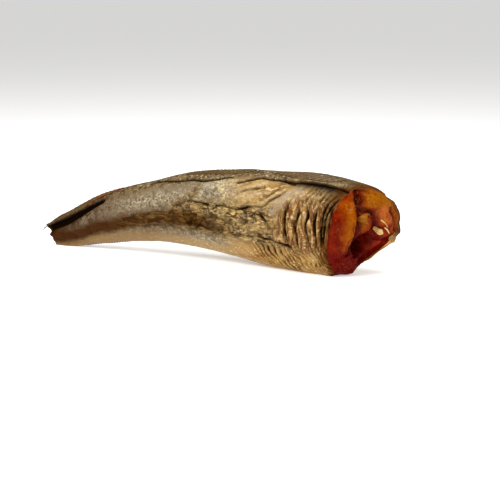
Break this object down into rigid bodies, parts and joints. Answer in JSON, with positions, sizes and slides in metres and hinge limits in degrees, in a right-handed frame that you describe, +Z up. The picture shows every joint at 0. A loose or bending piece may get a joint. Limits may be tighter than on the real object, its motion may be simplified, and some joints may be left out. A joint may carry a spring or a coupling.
{
  "type": "smoked fish",
  "caption": "Headless, gutted smoked fish lying on its belly, with folded fins, a cut tail and the belly cavity open at the slanted head cut.",
  "frame": {"origin": "middle of the underside of the bounding box, on the surface the fish lies on", "axes": "+X from the tail towards the head cut, +Y to the fish's left, +Z up through its back"},
  "size_m": [0.2684, 0.0496, 0.0688],
  "materials": {
    "smoked_skin": "dried, oily, wrinkled",
    "dried_fin": "dried, ribbed",
    "bone": "stained by smoke"
  },
  "bodies": {
    "root": {"fish_body": "smoked_skin", "first_dorsal_fin": "dried_fin", "second_dorsal_fin": "dried_fin", "third_dorsal_fin": "dried_fin", "first_anal_fin": "dried_fin", "second_anal_fin": "dried_fin", "backbone_end": "bone", "collar_bone_stub": "bone", "rib_bone_upper": "bone", "rib_bone_lower": "bone"}
  },
  "joints": []
}
